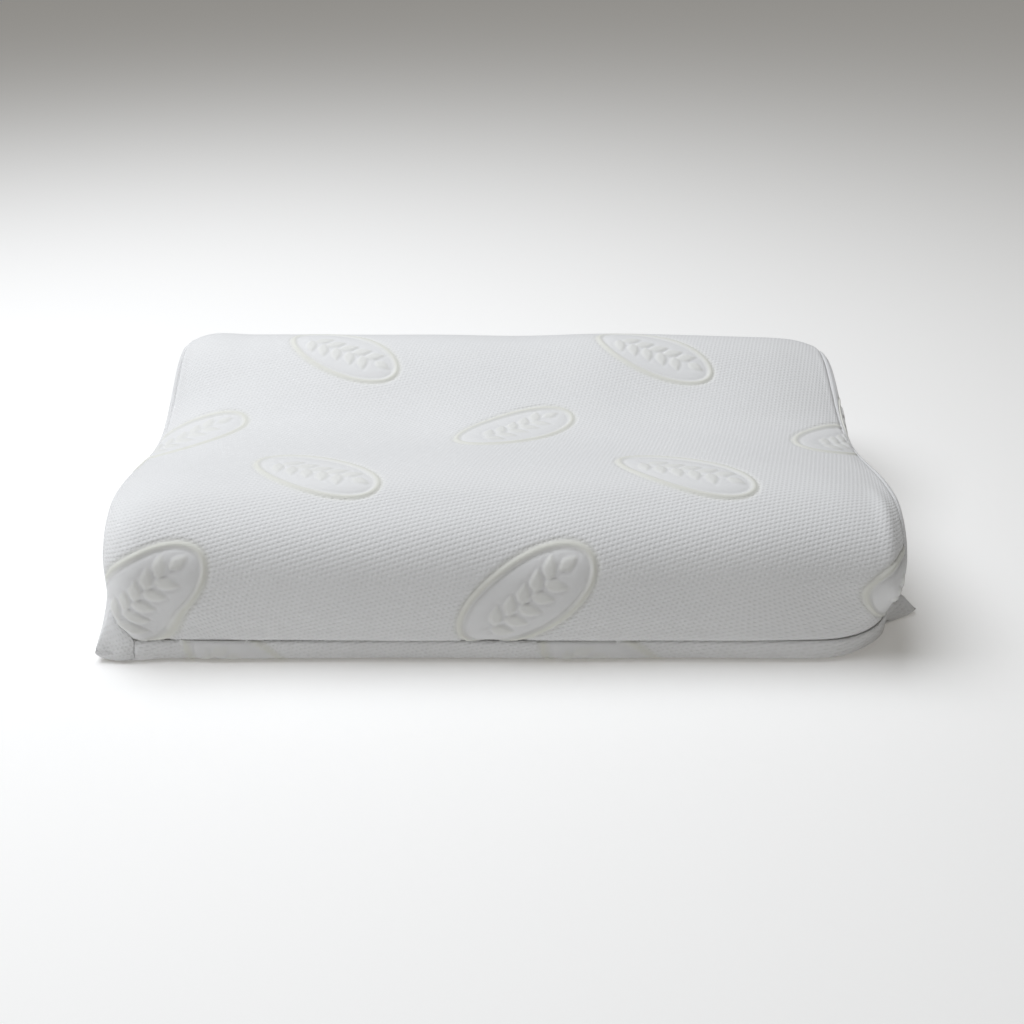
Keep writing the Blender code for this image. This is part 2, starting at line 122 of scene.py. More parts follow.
def form(shape, along, around, depth=0.0):
    """Points of the pillow's form, depth below the outside. around is the length along the outline. along
    is the distance from the pillow's middle, over the rounded corner and across the end to its centre."""
    out_y = np.interp(around, shape["round"], shape["out_y"])
    out_z = np.interp(around, shape["round"], shape["out_z"])
    y = np.interp(around, shape["round"], shape["y"]) - depth * out_y
    z = np.interp(around, shape["round"], shape["z"]) - depth * out_z
    reach = np.abs(along)
    turn = np.clip((reach - STRAIGHT_HALF) / CORNER_RADIUS, 0, math.pi / 2)
    x = np.minimum(reach, STRAIGHT_HALF) + (CORNER_RADIUS - depth) * np.sin(turn)
    inset = (CORNER_RADIUS - depth) * (1 - np.cos(turn))
    y = MIDDLE + (y - MIDDLE) * (1 - inset / ((BACK - FRONT) / 2 - depth))
    slope_start = HALF_LENGTH - END_SLOPE
    fall = 1 - np.sqrt(1 - np.clip((x - slope_start) / (END_SLOPE - depth), 0, 1) ** 2)
    drop = 0.013 + 0.006 * np.exp(-(((y - VALLEY_Y) / 0.07) ** 2)) - 0.004 * smooth(y, 0.04, 0.14)
    z = z - drop * fall * np.clip((z - MID_HEIGHT) / (LOW_ROLL - MID_HEIGHT), 0, 1.3)
    curl = 1 - np.sqrt(1 - np.clip((x - (HALF_LENGTH - depth - 0.008)) / 0.008, 0, 1) ** 2)
    z = z + 0.007 * curl * np.clip(1 - z / MID_HEIGHT, 0, 1)
    shrink = np.clip(1 - (reach - STRAIGHT_HALF - CORNER_ARC) / CAP_REACH, 0, 1)
    y = MIDDLE + (y - MIDDLE) * shrink
    z = MID_HEIGHT + (z - MID_HEIGHT) * shrink
    x = x + END_BULGE * (1 - shrink**2)
    return np.stack([np.sign(along) * x, y, z], -1)


FLOPPY_RADIUS = 0.070
SLIDE_REACH = 0.16


def settle(points, depth=0.0):
    """How the form lies on the bed: the front right corner is rounder low down, and the layers have crept
    round the two front corners, a little to the right at the left one and far to the back at the right."""
    x, y, z = points[..., 0].copy(), points[..., 1].copy(), points[..., 2].copy()
    low = 1 - smooth(z, 0.004, 0.066)
    hub_x, hub_y = HALF_LENGTH - FLOPPY_RADIUS, FRONT + FLOPPY_RADIUS
    out_x, out_y = x - hub_x, y - hub_y
    far = np.hypot(out_x, out_y)
    limit = FLOPPY_RADIUS - depth
    squeeze = np.where((out_x > 0) & (out_y < 0) & (far > limit), limit / np.maximum(far, 1e-6), 1)
    x = hub_x + out_x * (1 + (squeeze - 1) * low)
    y = hub_y + out_y * (1 + (squeeze - 1) * low)
    for side, creep, top, bottom in ((1, 0.064, 0.068, 0.010), (-1, -0.0205, 0.048, 0.016)):
        looser = FLOPPY_RADIUS - CORNER_RADIUS if side > 0 else 0
        radius = CORNER_RADIUS + looser * low
        arc = radius * math.pi / 2
        px, py = side * x - (HALF_LENGTH - radius), (FRONT + radius) - y
        bend = np.arctan2(np.maximum(px, 0), np.maximum(py, 1e-9))
        along = np.where(px <= 0, px, np.where(py <= 0, arc - py, radius * bend))
        away = np.where(px <= 0, py - radius, np.where(py <= 0, px - radius, np.hypot(px, py) - radius))
        held = smooth(1 - np.abs(along - arc / 2) / SLIDE_REACH, 0, 1)
        held = held * np.clip(1 + away / 0.034, 0, 1) ** 2 * (1 - smooth(z, bottom, top)) * (side * x > 0.05)
        moved = along + creep * held
        bend = np.clip(moved / radius, 0, math.pi / 2)
        new_x = (radius + away) * np.sin(bend) + np.minimum(moved, 0)
        new_y = (radius + away) * np.cos(bend) - np.maximum(moved - arc, 0)
        change = held > 1e-6
        x = np.where(change, side * (HALF_LENGTH - radius + new_x), x)
        y = np.where(change, FRONT + radius - new_y, y)
    return np.stack([x, y, z], -1)


def mesh_piece(name, points, faces, material):
    """A smooth-shaded mesh object from its points and faces."""
    mesh = bpy.data.meshes.new(name)
    places = [tuple(p) for p in np.asarray(points, float).reshape(-1, 3)]
    mesh.from_pydata(places, [], [tuple(f) for f in faces])
    mesh.shade_smooth()
    mesh.materials.append(material)
    piece = bpy.data.objects.new(name, mesh)
    bpy.context.scene.collection.objects.link(piece)
    return piece


def grid_faces(rows, columns, start=0, flip=False, closed=False):
    """Quads over a grid of rows x columns points, numbered row by row from start."""
    r, c = np.meshgrid(np.arange(rows - 1), np.arange(columns if closed else columns - 1), indexing="ij")
    r, c = r.ravel(), c.ravel()
    n = (c + 1) % columns
    here, above = r * columns, (r + 1) * columns
    quads = np.stack([here + c, here + n, above + n, above + c], -1) + start
    return (quads[:, ::-1] if flip else quads).tolist()


def rim_faces(fine, coarse, flip):
    """A strip of triangles between a finely and a coarsely divided edge that run side by side."""
    faces = []
    step = (len(coarse) - 1) / (len(fine) - 1)
    here = 0
    for i in range(len(fine) - 1):
        wanted = int(round((i + 1) * step - 1e-9))
        faces.append((fine[i], coarse[here], fine[i + 1]))
        if wanted > here:
            faces.append((fine[i + 1], coarse[here], coarse[wanted]))
            here = wanted
    return [f[::-1] for f in faces] if flip else faces


def new_finish(name, colour, roughness, sheen=0.0):
    """A material with one Principled shader, and its node tree's parts."""
    material = bpy.data.materials.new(name)
    material.use_nodes = True
    nodes, links = material.node_tree.nodes, material.node_tree.links
    shader = nodes["Principled BSDF"]
    shader.inputs["Base Color"].default_value = (*colour, 1)
    shader.inputs["Roughness"].default_value = roughness
    shader.inputs["Sheen Weight"].default_value = sheen
    shader.inputs["Sheen Roughness"].default_value = 0.4
    shader.inputs["Specular IOR Level"].default_value = 0.25
    return material, nodes, links, shader


def maths(nodes, links, kind, first, second=None, third=None):
    """One Math node whose inputs are sockets or plain numbers."""
    node = nodes.new("ShaderNodeMath")
    node.operation = kind
    for slot, value in enumerate((first, second, third)):
        if value is None:
            continue
        if isinstance(value, (int, float)):
            node.inputs[slot].default_value = value
        else:
            links.new(value, node.inputs[slot])
    return node.outputs[0]


def ramp_between(nodes, links, factor, low, high):
    """A colour that runs from low to high as factor goes from 0 to 1."""
    node = nodes.new("ShaderNodeMix")
    node.data_type = "RGBA"
    node.inputs["A"].default_value = (*low, 1)
    node.inputs["B"].default_value = (*high, 1)
    links.new(factor, node.inputs["Factor"])
    return node.outputs["Result"]


def bumped(nodes, links, shader, height, distance, strength=1.0):
    """Gives a shader a bump from a height socket; distance is the relief in metres."""
    bump = nodes.new("ShaderNodeBump")
    bump.inputs["Distance"].default_value = distance
    bump.inputs["Strength"].default_value = strength
    links.new(height, bump.inputs["Height"])
    links.new(bump.outputs["Normal"], shader.inputs["Normal"])


def speckle(nodes, links, scale, detail=2.0):
    """Even noise on the piece's own coordinates, in metres."""
    place = nodes.new("ShaderNodeTexCoord")
    noise = nodes.new("ShaderNodeTexNoise")
    noise.inputs["Scale"].default_value = scale
    noise.inputs["Detail"].default_value = detail
    links.new(place.outputs["Object"], noise.inputs["Vector"])
    return noise.outputs["Fac"]


def foam_finish():
    """Pale cream open-cell foam: fine pores, with a few larger ones."""
    material, nodes, links, shader = new_finish("foam", (0.86, 0.80, 0.66), 0.95)
    place = nodes.new("ShaderNodeTexCoord")
    pores = nodes.new("ShaderNodeTexVoronoi")
    pores.inputs["Scale"].default_value = 900
    links.new(place.outputs["Object"], pores.inputs["Vector"])
    patches = speckle(nodes, links, 40)
    cream = ramp_between(nodes, links, patches, (0.80, 0.73, 0.58), (0.90, 0.85, 0.72))
    links.new(cream, shader.inputs["Base Color"])
    bumped(nodes, links, shader, pores.outputs["Distance"], 0.0004, 0.6)
    return material


def closed_form(name, shape, depth, step, material, reach=ALONG_END):
    """The whole form as one closed skin at a depth, made of rings that run round it from end to end."""
    rings = np.linspace(-reach + 0.002, reach - 0.002, int(2 * reach / step))
    places = np.linspace(0, shape["round"][-1], int(shape["round"][-1] / step), endpoint=False)
    along, around = np.meshgrid(rings, places, indexing="ij")
    points = settle(form(shape, along, around, depth), depth).reshape(-1, 3)
    faces = grid_faces(len(rings), len(places), closed=True)
    faces.append(list(range(len(places)))[::-1])
    faces.append([(len(rings) - 1) * len(places) + i for i in range(len(places))])
    return mesh_piece(name, points, [f[::-1] for f in faces], material), along, around


foam_core, _, _ = closed_form("foam_core_block", INNER_OUTLINE, CORE_DEPTH, 0.008, foam_finish())
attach(foam_core, "pillow")
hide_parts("foam_core")

# ---- Jersey inner cover ----------------------------------------------------------------------------------
# A thin plain-knit sock that keeps the foam in one piece when the outer cover is off for washing: one
# sleeve round the foam and a panel over each end, overlocked together. It is pulled on, so it lies tight.
JERSEY_OUTSIDE = 0.0054
JERSEY_INSIDE = 0.0062
JERSEY_SEAM = STRAIGHT_HALF + CORNER_RADIUS * math.asin((0.287 - STRAIGHT_HALF) / CORNER_RADIUS)


def jersey_finish():
    """Off-white single jersey: rows of fine knit loops, a little uneven."""
    material, nodes, links, shader = new_finish("jersey", (0.84, 0.84, 0.82), 0.9, 0.2)
    place = nodes.new("ShaderNodeTexCoord")
    loops = nodes.new("ShaderNodeTexWave")
    loops.inputs["Scale"].default_value = 160
    loops.inputs["Distortion"].default_value = 1.5
    loops.inputs["Detail Scale"].default_value = 300
    links.new(place.outputs["Object"], loops.inputs["Vector"])
    patches = speckle(nodes, links, 60)
    off_white = ramp_between(nodes, links, patches, (0.78, 0.78, 0.76), (0.87, 0.87, 0.86))
    links.new(off_white, shader.inputs["Base Color"])
    bumped(nodes, links, shader, loops.outputs["Fac"], 0.0002, 0.5)
    return material


def closed_volume(mesh):
    """Signed volume of a mesh: negative if its faces point inwards."""
    work = bmesh.new()
    work.from_mesh(mesh)
    volume = work.calc_volume(signed=True)
    work.free()
    return volume


def two_sided(name, outside, inside, material, ring=False):
    """A closed cloth panel from its outside and inside grids of points. A ring is closed along its columns,
    and its last row is drawn together over the middle of the pillow's end."""
    rows, columns = outside.shape[:2]
    low_rows, low_columns = inside.shape[:2]
    start = rows * columns
    points = [outside.reshape(-1, 3), inside.reshape(-1, 3)]
    faces = grid_faces(rows, columns, closed=ring)
    faces += grid_faces(low_rows, low_columns, start, flip=True, closed=ring)
    fine = np.arange(start).reshape(rows, columns)
    coarse = np.arange(start, start + low_rows * low_columns).reshape(low_rows, low_columns)
    if ring:
        loop, low_loop = np.append(fine[0], fine[0][0]), np.append(coarse[0], coarse[0][0])
        faces += rim_faces(loop.tolist(), low_loop.tolist(), False)
        top, low_top = start + low_rows * low_columns, start + low_rows * low_columns + 1
        points += [outside[-1].mean(0)[None], inside[-1].mean(0)[None]]
        last, low_last = fine[-1].tolist(), coarse[-1].tolist()
        faces += [(last[i], last[(i + 1) % columns], top) for i in range(columns)]
        faces += [(low_last[(i + 1) % low_columns], low_last[i], low_top) for i in range(low_columns)]
    else:
        faces += rim_faces(fine[0].tolist(), coarse[0].tolist(), False)
        faces += rim_faces(fine[-1].tolist(), coarse[-1].tolist(), True)
        faces += rim_faces(fine[:, 0].tolist(), coarse[:, 0].tolist(), True)
        faces += rim_faces(fine[:, -1].tolist(), coarse[:, -1].tolist(), False)
    piece = mesh_piece(name, np.concatenate(points), faces, material)
    if closed_volume(piece.data) < 0:
        piece.data.flip_normals()
    return piece


def spread_points(shape, start, end, first, last, rows, columns, depth, closed=False):
    """A grid of the form's points: start to end along the pillow, first to last round it."""
    along, around = np.meshgrid(
        np.linspace(start, end, rows), np.linspace(first, last, columns, endpoint=not closed), indexing="ij"
    )
    return settle(form(shape, along, around, depth), depth)


jersey = jersey_finish()
inner_round = INNER_OUTLINE["round"][-1]
inner_sleeve = two_sided(
    "inner_jersey_sleeve",
    spread_points(INNER_OUTLINE, -JERSEY_SEAM, JERSEY_SEAM, 0, inner_round - 0.001, 91, 161, JERSEY_OUTSIDE),
    spread_points(INNER_OUTLINE, -JERSEY_SEAM, JERSEY_SEAM, 0, inner_round - 0.001, 91, 161, JERSEY_INSIDE),
    jersey,
)
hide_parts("inner_sleeve")
inner_ends = []
for side, word in ((-1, "left"), (1, "right")):
    start, end = side * (JERSEY_SEAM + 0.0006), side * (ALONG_END - 0.003)
    piece = two_sided(
        f"inner_jersey_{word}_end",
        spread_points(INNER_OUTLINE, start, end, 0, inner_round, 24, 160, JERSEY_OUTSIDE, closed=True),
        spread_points(INNER_OUTLINE, start, end, 0, inner_round, 24, 160, JERSEY_INSIDE, closed=True),
        jersey,
        ring=True,
    )
    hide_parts(f"inner_{word}_end")
    inner_ends.append(piece)
for piece in [inner_sleeve, *inner_ends]:
    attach(piece, "pillow")

# ---- Top panel -------------------------------------------------------------------------------------------
# The one big panel that shows, of double-faced jacquard: from the seam low on the front, over both rolls and
# down the back to the upper zip tape, where its edge is turned in. The cover is cut small and pulled on, so
# it swells between its seams, and its spare low corners stick out as soft points.
COVER_OUTLINE = outline(0.006)
COVER_ROUND = COVER_OUTLINE["round"][-1]
COVER_DEPTH = 0.0026
END_SEAM_X = (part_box("top_panel")[1].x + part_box("right_end_panel")[0].x) / 2
END_SEAM = STRAIGHT_HALF + CORNER_RADIUS * math.asin((END_SEAM_X - STRAIGHT_HALF) / CORNER_RADIUS)
SEAM_GAP = 0.00025
SEAM_ROLL = {-1: 0.0135, 1: 0.0095}
ZIP_Z = (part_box("zip_tape_upper")[0].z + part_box("zip_tape_lower")[1].z) / 2
ZIP_OPENING = (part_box("zip_slider")[1].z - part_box("zip_slider")[0].z) / 2 + 0.0007
SWELL_LIMIT = 0.006
SWELL_STEPS = 156
SWELL_FRAMES = 20


def round_at_back(z):
    """The length along the cover's outline to a height on the straight rear face."""
    flat = COVER_OUTLINE["y"] > BACK - 1e-5
    return float(np.interp(-z, -COVER_OUTLINE["z"][flat], COVER_OUTLINE["round"][flat]))


ZIP_ROUND = round_at_back(ZIP_Z)


def seam_along(around, side):
    """How far along the end seam lies at each place round: it has rolled over the edge except low down."""
    z = np.interp(around, COVER_OUTLINE["round"], COVER_OUTLINE["z"])
    return END_SEAM + SEAM_ROLL[side] * smooth(z, 0.022, 0.064)


def outward(points, closed=False):
    """Outward directions over a grid of points."""
    rows = np.gradient(points, axis=0)
    if closed:
        columns = np.roll(points, -1, 1) - np.roll(points, 1, 1)
    else:
        columns = np.gradient(points, axis=1)
    across = np.cross(rows, columns)
    return across / np.maximum(np.linalg.norm(across, axis=-1, keepdims=True), 1e-12)


def blown_cover():
    """Blows the sewn cover up a little as cloth held at its seams, and returns how far each point moved.
    Most of what moved inwards is taken back, and the rest is limited and evened out."""
    calico, _, _, _ = new_finish("calico", (0.8, 0.8, 0.8), 0.9)
    bag, along, around = closed_form("swelling_bag", COVER_OUTLINE, 0.0, COVER_ROUND / SWELL_STEPS, calico)
    rings, places = along[:, 0], around[0]
    rest = np.array([v.co for v in bag.data.vertices], float).reshape(along.shape + (3,))
    near_seam = np.abs(np.abs(along) - END_SEAM) < 0.004
    near_front = np.minimum(around, COVER_ROUND - around) < 0.004
    near_zip = np.abs(around - ZIP_ROUND) < 0.022
    under = rest[..., 2] < 0.003
    held = (near_seam | near_front | near_zip | under).ravel()
    group = bag.vertex_groups.new(name="held")
    group.add(np.nonzero(held)[0].tolist(), 1.0, "REPLACE")
    cloth = bag.modifiers.new("cloth", "CLOTH")
    settings = cloth.settings
    settings.quality = 4
    settings.mass = 0.3
    settings.tension_stiffness = 12
    settings.compression_stiffness = 12
    settings.bending_stiffness = 0.4
    settings.use_pressure = True
    settings.uniform_pressure_force = 4.0
    settings.vertex_group_mass = "held"
    settings.effector_weights.gravity = 0
    cloth.point_cache.frame_start = 1
    cloth.point_cache.frame_end = SWELL_FRAMES
    scene = bpy.context.scene
    for step in range(1, SWELL_FRAMES + 1):
        scene.frame_set(step)
    swollen = bag.evaluated_get(bpy.context.evaluated_depsgraph_get()).data
    moved = np.array([v.co for v in swollen.vertices], float).reshape(rest.shape) - rest
    scene.frame_set(1)
    bpy.data.objects.remove(bag)
    normal = outward(rest, closed=True)
    if (normal[56, 30] * (rest[56, 30] - [0, MIDDLE, MID_HEIGHT])).sum() < 0:
        normal = -normal
    sunk = np.minimum((moved * normal).sum(-1, keepdims=True), 0)
    moved -= 0.92 * sunk * normal
    far = np.linalg.norm(moved, axis=-1, keepdims=True)
    moved *= SWELL_LIMIT * np.tanh(far / SWELL_LIMIT) / np.maximum(far, 1e-9)
    for _ in range(5):
        moved = (np.roll(moved, 1, 1) + 2 * moved + np.roll(moved, -1, 1)) / 4
        moved[1:-1] = (moved[:-2] + 2 * moved[1:-1] + moved[2:]) / 4
    return rings, places, moved


swell_rings, swell_places, swell = blown_cover()


def swelling(along, around):
    """The cloth's movement at any place, read between the simulated points."""
    row = np.clip((along - swell_rings[0]) / (swell_rings[1] - swell_rings[0]), 0, len(swell_rings) - 1.001)
    column = (around / (swell_places[1] - swell_places[0])) % len(swell_places)
    r, c = row.astype(int), column.astype(int) % len(swell_places)
    fr, fc = (row - r)[..., None], (column - np.floor(column))[..., None]
    n = (c + 1) % len(swell_places)
    low = swell[r, c] * (1 - fc) + swell[r, n] * fc
    high = swell[r + 1, c] * (1 - fc) + swell[r + 1, n] * fc
    calm = smooth(ALONG_END - np.abs(along), 0.006, 0.036)
    return (low * (1 - fr) + high * fr) * calm[..., None]


SPARE_CORNERS = (
    # root x and y, how far it sticks out in x and y, half width, height where it starts, height of its tip
    (-0.2895, FRONT + 0.0100, -0.0175, -0.0100, 0.031, 0.047, 0.009),
    (0.3030, FRONT + 0.0740, 0.0320, -0.0050, 0.023, 0.031, 0.003),
    (-0.2895, BACK - 0.0100, -0.0110, 0.0070, 0.030, 0.036, 0.008),
    (0.2895, BACK - 0.0100, 0.0110, 0.0070, 0.030, 0.036, 0.008),
)


def spare_corners(points):
    """Draws the cover's four low corners out into soft points, and says how near each place is to one."""
    near = np.zeros(points.shape[:-1])
    points = points.copy()
    for x, y, out_x, out_y, width, start, tip in SPARE_CORNERS:
        gap = np.hypot(points[..., 0] - x, points[..., 1] - y)
        share = np.clip(1 - gap / width, 0, 1) ** 1.15
        z = points[..., 2]
        rise = np.clip((start - z) / (start - tip), 0, 1) ** 1.1 * (0.86 + 0.14 * smooth(z, 0, tip))
        points[..., 0] += out_x * share * rise
        points[..., 1] += out_y * share * rise
        near = np.maximum(near, share * rise)
    return points, near


def cover_points(along, around, depth=0.0):
    """The outer cover's own surface, before its knit and seams are worked into it."""
    points = settle(form(COVER_OUTLINE, along, around, depth), depth) + swelling(along, around)
    x, y, z = points[..., 0], points[..., 1], points[..., 2]
    lift = 0.0028 * (1 - smooth(x, 0.10, 0.29)) + 0.0045 * smooth(-x, 0.235, 0.285)
    lift = lift * np.exp(-(((y - HIGH_CREST_Y) / 0.055) ** 2)) * smooth(z, 0.06, 0.115)
    points[..., 2] += lift
    points, near = spare_corners(points)
    points[..., 2] = np.maximum(points[..., 2], depth * 0.3)
    return points, near


MOTIF_PITCH = 0.2835
MOTIF_HALF_LENGTH = 0.060
MOTIF_HALF_WIDTH = 0.0315
MOTIF_TILT = math.radians(35.5)
LEAF_LENGTH = 0.0185
LEAF_WIDTH = 0.0095
PIT_LENGTH = 0.0038
PIT_ROW = 0.0033


def leaf_relief(p, q, root_p, root_q, angle, length, width):
    """Height of one raised leaf with a groove round it, in metres."""
    run = (p - root_p) * math.cos(angle) + (q - root_q) * math.sin(angle)
    side = (q - root_q) * math.cos(angle) - (p - root_p) * math.sin(angle)
    share = np.clip(run / length, 0, 1)
    inside = width / 2 * np.sin(math.pi * share**0.8) - np.abs(side)
    inside = np.where((run < 0) | (run > length), -np.hypot(side, np.minimum(run, length - run)), inside)
    body = 0.00065 * smooth(inside, -0.0002, 0.0016)
    groove = 0.00045 * np.exp(-(((inside + 0.0011) / 0.0009) ** 2))
    return body - groove, smooth(inside, -0.001, 0.001)


def motif_relief(u, v, rows):
    """Relief of the medallions on the cloth: height, how far inside one a place is, and its tinted lines."""
    height, inside, tint = np.zeros(u.shape), np.zeros(u.shape), np.zeros(u.shape)
    for row_v, first_u, lean in rows:
        for place in range(-3, 4):
            du, dv = u - (first_u + place * MOTIF_PITCH), v - row_v
            if np.abs(du).min() > MOTIF_HALF_LENGTH or np.abs(dv).min() > MOTIF_HALF_LENGTH:
                continue
            angle = lean * MOTIF_TILT
            p = du * math.cos(angle) + dv * math.sin(angle)
            q = dv * math.cos(angle) - du * math.sin(angle)
            r = np.maximum(np.hypot(p / MOTIF_HALF_LENGTH, q / MOTIF_HALF_WIDTH), 1e-6)
            slope = np.hypot(p / MOTIF_HALF_LENGTH**2, q / MOTIF_HALF_WIDTH**2) / r
            off = (r - 1) / np.maximum(slope, 1e-6)
            line = np.exp(-((off / 0.0012) ** 2))
            second = np.exp(-(((off + 0.0066) / 0.0012) ** 2))
            band = smooth(-off, 0.0004, 0.0020) * (1 - smooth(-off, 0.0044, 0.0060))
            relief = -0.0009 * line + 0.0006 * band - 0.0007 * second + 0.0008 * smooth(-off, 0.0065, 0.0170)
            stem_q = 0.0045 * np.sin(p * math.pi / 0.075)
            on_stem = smooth(0.043 - np.abs(p), 0, 0.004)
            stem = np.exp(-(((q - stem_q) / 0.0011) ** 2)) * on_stem
            beside = np.exp(-(((np.abs(q - stem_q) - 0.0026) / 0.0010) ** 2)) * on_stem
            sprig = 0.0005 * stem - 0.0004 * beside
            covered = np.zeros(u.shape)
            for index, root in enumerate((-0.034, -0.0205, -0.007, 0.0065, 0.020)):
                room = MOTIF_HALF_WIDTH * math.sqrt(1 - (abs(root + 0.009) / MOTIF_HALF_LENGTH) ** 2) - 0.0095
                for up in (1, -1):
                    length = min(LEAF_LENGTH, room / math.sin(math.radians(48)))
                    shape, cover = leaf_relief(
                        p, q, root + 0.002 * up, 0.0045 * math.sin(root * math.pi / 0.075),
                        up * math.radians(48), length, LEAF_WIDTH * length / LEAF_LENGTH,
                    )
                    sprig = np.where(shape > 0, np.maximum(sprig, shape), sprig + shape)
                    covered = np.maximum(covered, cover)
            tip_q = 0.0045 * math.sin(0.033 * math.pi / 0.075)
            shape, cover = leaf_relief(p, q, 0.033, tip_q, 0.0, 0.016, 0.009)
            sprig = np.where(shape > 0, np.maximum(sprig, shape), sprig + shape)
            covered = np.maximum(covered, cover)
            within = smooth(-off, -0.0004, 0.0012)
            height = height + relief + sprig * smooth(-off, 0.004, 0.008)
            inside = np.maximum(inside, within)
            lines = 0.9 * np.exp(-(((off + 0.0024) / 0.0030) ** 2)) + 0.35 * covered * within
            tint = np.maximum(tint, np.clip(lines, 0, 1))
    return height, inside, tint


def soft_waves(u, v, seed):
    """Slow rises and hollows of cloth over soft foam, from -1 to 1."""
    draw = np.random.default_rng(seed)
    total = np.zeros(np.broadcast(u, v).shape)
    for _ in range(9):
        angle = draw.uniform(0, math.pi)
        length = draw.uniform(0.07, 0.22)
        phase = draw.uniform(0, 2 * math.pi)
        total += np.sin(2 * math.pi * (u * math.cos(angle) + v * math.sin(angle)) / length + phase) * length
    return total / 0.7


def puckers(place, off, seed):
    """Small gathers that a line of stitches draws into the cloth beside it."""
    draw = np.random.default_rng(seed)
    total = np.zeros(np.broadcast(place, off).shape)
    for pitch in (0.011, 0.017, 0.029, 0.047):
        phase, drift = draw.uniform(0, 6.28), draw.uniform(0.05, 0.13)
        wander = 2.2 * np.sin(2 * math.pi * place / drift)
        total += np.sin(2 * math.pi * place / pitch + phase + wander) * pitch
    return total * 7.0 * np.exp(-off / 0.012) * smooth(off, -0.001, 0.004)


def seam_roll(off):
    """How cloth turns in at a seam and stands up over the folded allowance behind it."""
    return -0.0017 * np.exp(-((off / 0.0017) ** 2)) + 0.0007 * np.exp(-(((off - 0.0065) / 0.0032) ** 2))


def knit_finish():
    """White waffle knit: staggered pits in slanting rows over fine loops, smooth inside the medallions. The
    colour holds painted shade: the pits are mixed towards grey, and the medallions' insides a little.
    """
    material, nodes, links, shader = new_finish("waffle_knit", (0.84, 0.84, 0.84), 0.82, 0.25)
    cloth = nodes.new("ShaderNodeUVMap")
    cloth.uv_map = "cloth"
    slanted = nodes.new("ShaderNodeMapping")
    slanted.inputs["Rotation"].default_value = (0, 0, math.radians(-16))
    in_pits = nodes.new("ShaderNodeMapping")
    in_pits.inputs["Scale"].default_value = (1 / PIT_LENGTH, 1 / PIT_ROW, 1)
    links.new(cloth.outputs["UV"], slanted.inputs["Vector"])
    links.new(slanted.outputs["Vector"], in_pits.inputs["Vector"])
    apart = nodes.new("ShaderNodeSeparateXYZ")
    links.new(in_pits.outputs["Vector"], apart.inputs["Vector"])
    row = maths(nodes, links, "FLOOR", apart.outputs["Y"])
    stagger = maths(nodes, links, "MULTIPLY", row, 0.5)
    across = maths(nodes, links, "ADD", apart.outputs["X"], stagger)
    turn = 2 * math.pi
    wave_u = maths(nodes, links, "COSINE", maths(nodes, links, "MULTIPLY", across, turn))
    down = maths(nodes, links, "MULTIPLY_ADD", apart.outputs["Y"], turn, math.pi)
    wave_v = maths(nodes, links, "COSINE", down)
    dash_u = maths(nodes, links, "MULTIPLY_ADD", wave_u, 0.5, 0.5)
    dash_v = maths(nodes, links, "POWER", maths(nodes, links, "MULTIPLY_ADD", wave_v, 0.5, 0.5), 1.5)
    pit = maths(nodes, links, "MULTIPLY", maths(nodes, links, "POWER", dash_u, 0.8), dash_v)
    loops_u = maths(nodes, links, "SINE", maths(nodes, links, "MULTIPLY", apart.outputs["X"], turn * 4))
    loops_v = maths(nodes, links, "SINE", maths(nodes, links, "MULTIPLY", apart.outputs["Y"], turn * 5))
    loops = maths(nodes, links, "MULTIPLY", loops_u, loops_v)
    inside = nodes.new("ShaderNodeAttribute")
    inside.attribute_name = "inside_motif"
    tint = nodes.new("ShaderNodeAttribute")
    tint.attribute_name = "motif_tint"
    plain = maths(nodes, links, "SUBTRACT", 1.0, inside.outputs["Fac"])
    pits = maths(nodes, links, "MULTIPLY", pit, plain)
    height = maths(nodes, links, "MULTIPLY_ADD", pits, -1.0, maths(nodes, links, "MULTIPLY", loops, 0.10))
    bumped(nodes, links, shader, height, 0.00042, 0.8)
    patches = speckle(nodes, links, 14, 3)
    base = ramp_between(nodes, links, patches, (0.800, 0.803, 0.810), (0.835, 0.835, 0.838))
    # Painted shade: grey mixed into the base colour in the waffle's pits, and a little over the medallions'
    # insides, as shade falling in the knit.
    painted_shade = nodes.new("ShaderNodeMix")
    painted_shade.data_type = "RGBA"
    inside_painted_shade = maths(nodes, links, "MULTIPLY", inside.outputs["Fac"], 0.12)
    links.new(maths(nodes, links, "MULTIPLY_ADD", pits, 0.16, inside_painted_shade), painted_shade.inputs["Factor"])
    links.new(base, painted_shade.inputs["A"])
    painted_shade.inputs["B"].default_value = (0.62, 0.62, 0.61, 1)
    cream = nodes.new("ShaderNodeMix")
    cream.data_type = "RGBA"
    links.new(maths(nodes, links, "MULTIPLY", tint.outputs["Fac"], 0.62), cream.inputs["Factor"])
    links.new(painted_shade.outputs["Result"], cream.inputs["A"])
    cream.inputs["B"].default_value = (0.75, 0.75, 0.65, 1)
    links.new(cream.outputs["Result"], shader.inputs["Base Color"])
    return material


def give_cloth(piece, u, v, inside, tint):
    """Lays the cloth's own coordinates and its medallions on a piece. Points past the outer grid get none."""
    mesh = piece.data
    count = len(mesh.vertices)
    for name, values in (("inside_motif", inside), ("motif_tint", tint)):
        full = np.zeros(count, np.float32)
        full[: values.size] = values.ravel()
        mesh.attributes.new(name, "FLOAT", "POINT").data.foreach_set("value", full)
    place = np.zeros((count, 2))
    place[: u.size, 0] = u.ravel()
    place[: v.size, 1] = v.ravel()
    corners = np.zeros(len(mesh.loops), np.int32)
    mesh.loops.foreach_get("vertex_index", corners)
    mesh.uv_layers.new(name="cloth").data.foreach_set("uv", place[corners].astype(np.float32).ravel())


knit = knit_finish()
WEAVE_STEP = 0.0015
TOP_ROWS = (
    # how far round the row is, where one of its medallions is along the pillow, and which way it leans
    (0.0375, 0.0157, 1), (0.158, -0.1448, -1), (0.275, 0.0089, 1), (0.392, -0.1468, -1), (0.509, 0.0, 1),
)


